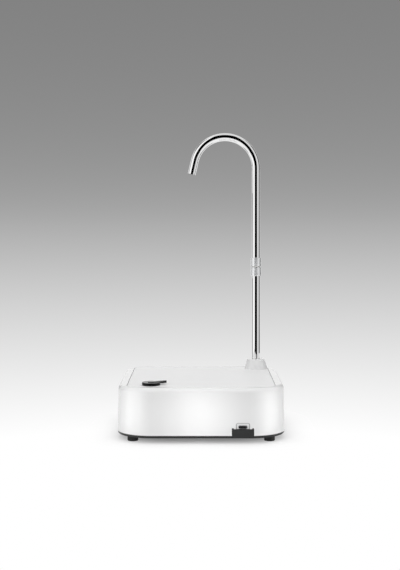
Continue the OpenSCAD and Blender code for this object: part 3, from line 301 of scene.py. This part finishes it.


# Grey bead along the edge of the recess around the charging port, in metres; its grey is painted
# shade, standing in for the shadow line at the recess's edge

PORT_X = 0.0413
PORT_LOW = 0.0142
RECESS_FLOOR_Y = -0.0834
RECESS_W = 0.014
RECESS_H = 0.0062
RECESS_R = RECESS_H / 3
SHADE_BEAD_W = 0.0008
SHADE_BEAD_PROUD = 0.0005
SHADE_BEAD_PLAY = 0.00005
# Places across the bead and out of the recess, as shares of the bead's width and height
SHADE_BEAD_SECTION = ((0.0, 0.0), (0.0, 0.7), (0.25, 1.0), (0.75, 1.0), (1.0, 0.7), (1.0, 0.0))


def recess_path(inset, steps=10):
    """Points along the recess's edge, moved inwards, from its lower left to its lower right."""
    w, h, r = RECESS_W / 2 - inset, RECESS_H - inset, RECESS_R - inset
    points = [(-w, 0)]
    for x, start in ((-w + r, 180), (w - r, 90)):
        for i in range(steps + 1):
            turn = math.radians(start - 90 * i / steps)
            points.append((x + r * math.cos(turn), h - r + r * math.sin(turn)))
    return points + [(w, 0)]


def port_shade_bead():
    """A low bead with a rounded face that follows the recess's edge, grey as painted shade for the
    shadow line there.
    """
    mesh = bmesh.new()
    low = PORT_LOW + SHADE_BEAD_PLAY
    rows = []
    for across, proud in SHADE_BEAD_SECTION:
        path = recess_path(SHADE_BEAD_PLAY + across * SHADE_BEAD_W)
        y = RECESS_FLOOR_Y - SHADE_BEAD_PLAY - proud * SHADE_BEAD_PROUD
        rows.append([mesh.verts.new((PORT_X + x, y, low + z)) for x, z in path])
    for row, following in zip(rows, rows[1:] + rows[:1]):
        for i in range(len(row) - 1):
            mesh.faces.new((row[i], row[i + 1], following[i + 1], following[i]))
    for end in (0, -1):
        mesh.faces.new([row[end] for row in rows])
    bmesh.ops.recalc_face_normals(mesh, faces=mesh.faces)
    data = bpy.data.meshes.new("port_shade_bead")
    mesh.to_mesh(data)
    mesh.free()
    # Painted shade: the bead's grey stands in for the shadow line along the recess's edge
    recess_shade_grey = moulded("recess_shade_grey", grey(0.42), roughness=0.4, grain=0.0004, depth=1e-5)
    data.materials.append(recess_shade_grey)
    shade_bead = link(bpy.data.objects.new("port_shade_bead", data))
    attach(shade_bead, "base")


port_shade_bead()


# Stage: world, floor, reflectors and lamps

# Where it is seen, the floor turns from white into the backdrop's grey with the distance from a
# spot in front of the object, and the backdrop goes on from there with the same slope
WHITE_SPOT = (0, -0.35, 0)
FLOOR_NEAR = 0.82
FLOOR_WHITE = 1.17
FLOOR_REACH = 30
BACKDROP_LOW = 0.402
BACKDROP_TOP = 0.152
BACKDROP_FALL = 12.6
AMBIENT = 0.46
# Share of that white painted over the table's own shading close to the object, which lightens the
# contact shadow there, and where that share starts and ends to rise, so that the glow paints the
# shadow out beyond the case's outline
WHITE_SHARE = 0.2
SHADOW_FROM = 0.062
SHADOW_TO = 0.12

# Spout's axis, about which the curved cards stand
SPOUT_X = 0.0615
SPOUT_Y = 0.062
# What the tube's dark stripe mirrors, as angles from the front, in degrees
DARK_FROM = -37
DARK_TO = 31


def aim(obj, target):
    obj.rotation_euler = (Vector(target) - obj.location).to_track_quat("-Z", "Y").to_euler()


def backdrop_rays(tree):
    """1 for rays from the camera and from polished or clear surfaces, 0 for the rest."""
    path = add(tree, "LightPath").outputs
    polished = maths(tree, "MAXIMUM", path["Is Camera Ray"], path["Is Glossy Ray"])
    return maths(tree, "MAXIMUM", polished, path["Is Transmission Ray"])


def studio_world():
    """A grey backdrop that darkens upwards where it is seen, and a plain soft light elsewhere."""
    world = bpy.data.worlds.new("studio")
    world.use_nodes = True
    tree = world.node_tree
    tree.nodes.clear()
    direction = add(tree, "TexCoord").outputs["Generated"]
    upward = add(tree, "SeparateXYZ", {0: direction}).outputs["Z"]
    # Level below the table's far edge, so that no step shows there
    above = maths(tree, "MAXIMUM", upward, -CAMERA_Z / FLOOR_REACH)
    height = maths(tree, "MULTIPLY_ADD", above, BACKDROP_FALL, 1.0)
    fade = maths(tree, "DIVIDE", BACKDROP_LOW - BACKDROP_TOP, height)
    level = maths(tree, "ADD", fade, BACKDROP_TOP)
    shown = add(tree, "Background", {"Color": level, "Strength": 1.0}).outputs[0]
    light = add(tree, "Background", {"Color": grey(1), "Strength": AMBIENT}).outputs[0]
    mixed = add(tree, "MixShader", {0: backdrop_rays(tree), 1: light, 2: shown}).outputs[0]
    add(tree, "OutputWorld", {"Surface": mixed})
    scene.world = world


def floor_material():
    """Pale matt table with a faint mottle that turns into the backdrop away from the object; its
    glow is painted light over the table's own shading, which lightens the contact shadow and fades
    it out along the case's rounded square.
    """
    material, tree = new_material("pale_table")
    vector = place(tree)
    mottle = noise(tree, vector, size=0.05)
    table = add(tree, "BsdfPrincipled", {
        "Base Color": mix_colour(tree, mottle, grey(0.95), grey(0.97)),
        "Roughness": 0.6,
        "Specular IOR Level": 0.2,
    }).outputs[0]
    # Fourth root of the sum of fourth powers, which is even along the case's rounded square
    squares = add(tree, "VectorMath", {0: vector, 1: vector}, operation="MULTIPLY").outputs[0]
    reach = add(tree, "VectorMath", {0: squares}, operation="LENGTH").outputs["Value"]
    away = maths(tree, "SQRT", reach)
    spot = {0: vector, 1: WHITE_SPOT}
    from_spot = add(tree, "VectorMath", spot, operation="DISTANCE").outputs["Value"]
    nearness = maths(tree, "DIVIDE", FLOOR_WHITE, maths(tree, "ADD", from_spot, FLOOR_NEAR))
    levels = {"Value": nearness, "To Min": BACKDROP_LOW, "To Max": 1.0}
    level = add(tree, "MapRange", levels).outputs[0]
    glow = add(tree, "Emission", {"Color": level, "Strength": 1.0}).outputs[0]
    # Painted light: the glow covers a share of the table's shading next to the case, lightening
    # its contact shadow, and all of it from SHADOW_TO out
    limits = {"From Min": SHADOW_FROM, "From Max": SHADOW_TO, "To Min": WHITE_SHARE, "To Max": 1.0}
    fade = add(tree, "MapRange", {"Value": away, **limits}, interpolation_type="SMOOTHSTEP")
    share = maths(tree, "MULTIPLY", fade.outputs[0], backdrop_rays(tree))
    connect(tree, add(tree, "MixShader", {0: share, 1: table, 2: glow}))
    return material


def card_material(name, level):
    material, tree = new_material(name)
    connect(tree, add(tree, "Emission", {"Color": grey(level), "Strength": 1.0}))
    return material


def stage_card(name, points, faces, material):
    mesh = bpy.data.meshes.new(name)
    mesh.from_pydata(points, [], faces)
    mesh.materials.append(material)
    card = link(bpy.data.objects.new(name, mesh))
    return card


def flat_card(name, width, height, material):
    """A card that lies flat about the origin."""
    w, h = width / 2, height / 2
    points = [(-w, -h, 0), (w, -h, 0), (w, h, 0), (-w, h, 0)]
    return stage_card(name, points, [(0, 1, 2, 3)], material)


def reflected_only(card):
    """Keeps a card out of every ray but those that polished surfaces send out."""
    card.visible_camera = False
    card.visible_diffuse = False
    card.visible_transmission = False
    card.visible_shadow = False


def reflector(name, level, width, height, centre, target):
    """A flat card that faces a target and that only polished surfaces see."""
    card = flat_card(name, width, height, card_material(name, level))
    card.location = centre
    aim(card, target)
    reflected_only(card)


def curved_card(name, material, radius, bottom, top, start, end, steps=24):
    """A wall on an arc about the spout that only polished surfaces see, by angles as above."""
    points = []
    for i in range(steps + 1):
        turn = math.radians(start + (end - start) * i / steps)
        x, y = SPOUT_X + radius * math.sin(turn), SPOUT_Y - radius * math.cos(turn)
        points += [(x, y, bottom), (x, y, top)]
    faces = [(2 * i, 2 * i + 2, 2 * i + 3, 2 * i + 1) for i in range(steps)]
    reflected_only(stage_card(name, points, faces, material))


def softbox(name, power, width, height, centre, target, beam=180):
    """A soft lamp that neither the camera nor polished surfaces see."""
    lamp = bpy.data.lights.new(name, "AREA")
    lamp.shape = "RECTANGLE"
    lamp.size = width
    lamp.size_y = height
    lamp.energy = power
    lamp.spread = math.radians(beam)
    obj = link(bpy.data.objects.new(name, lamp))
    obj.location = centre
    obj.visible_camera = False
    obj.visible_glossy = False
    aim(obj, target)


def reflectors():
    """Cards clear of the part that give the chrome its dark stripe, white sides and light rims."""
    black = card_material("black_card", 0.0)
    side_grey = card_material("grey_card", 0.12)
    bright = card_material("white_card", 1.1)
    dimmer = card_material("pale_card", 0.75)
    curved_card("front_flag", black, radius=0.45, bottom=0, top=1.09, start=DARK_FROM, end=DARK_TO)
    curved_card("left_white", bright, radius=0.5, bottom=0, top=1.5, start=DARK_FROM, end=-85)
    curved_card("right_white", dimmer, radius=0.5, bottom=0, top=1.5, start=DARK_TO, end=109)
    curved_card("left_flag", side_grey, radius=0.3, bottom=0.03, top=0.14, start=-105, end=-127)
    curved_card("right_flag", side_grey, radius=0.1, bottom=0.06, top=0.4, start=85, end=137)
    reflector("back_white", level=0.95, width=1.2, height=0.26,
              centre=(0.3, 0.55, 0.17), target=(0.3, 0, 0.17))
    reflector("over_white", level=0.8, width=1.0, height=0.9,
              centre=(0.03, 0.5, 0.95), target=(0.03, 0.062, 0.3))
    reflector("roof_white", level=0.8, width=1.2, height=0.76,
              centre=(0.03, -0.24, 1.5), target=(0.03, -0.239, 0))
    reflector("brow_white", level=0.9, width=1.0, height=0.3,
              centre=(0, -0.25, 0.1515), target=(0, -0.249, 0))
    for name, side in (("left_back_white", -1), ("right_back_white", 1)):
        reflector(name, level=0.8, width=0.8, height=0.5,
                  centre=(side * 0.66, 0.62, 0.5), target=(side * 0.08, -0.08, 0.05))


def lamps():
    """Soft studio light, and three low strips for the white bands on the case's front."""
    middle = (0, 0, 0.1)
    softbox("left_softbox", power=3.5, width=0.45, height=1.0,
            centre=(-0.58, -1.24, 0.5), target=middle)
    softbox("right_softbox", power=1.2, width=0.45, height=1.0,
            centre=(0.75, -1.15, 0.5), target=middle)
    softbox("top_softbox", power=10.8, width=1.2, height=1.2,
            centre=(0, 0.1, 1.6), target=middle)
    softbox("front_strip", power=0.0036, width=0.02, height=0.05,
            centre=(-0.0015, -0.19, 0.03), target=(-0.0015, 0, 0.03), beam=55)
    for name, side, power in (("left_strip", -1, 0.0015), ("right_strip", 1, 0.0018)):
        softbox(name, power, width=0.01, height=0.05, centre=(side * 0.105, -0.1384, 0.03),
                target=(side * 0.0721, -0.0766, 0.03), beam=42)


studio_world()
flat_card("table", 2 * FLOOR_REACH, 2 * FLOOR_REACH, floor_material())
reflectors()
lamps()


# Camera

def photograph_camera():
    """A level camera in front of the case, shifted to the photograph's horizon."""
    camera = bpy.data.cameras.new("photograph")
    camera.sensor_width = SENSOR_MM
    camera.lens = FOCAL_PX * SENSOR_MM / IMAGE_H
    camera.shift_y = (HORIZON_PX - IMAGE_H / 2) / IMAGE_H
    obj = link(bpy.data.objects.new("photograph", camera))
    distance = FOCAL_PX * FRONT_MM_PER_PX / 1000
    obj.location = (CAMERA_X, cad_low.y - distance, CAMERA_Z)
    obj.rotation_euler = (math.radians(90), 0, 0)
    scene.camera = obj


photograph_camera()
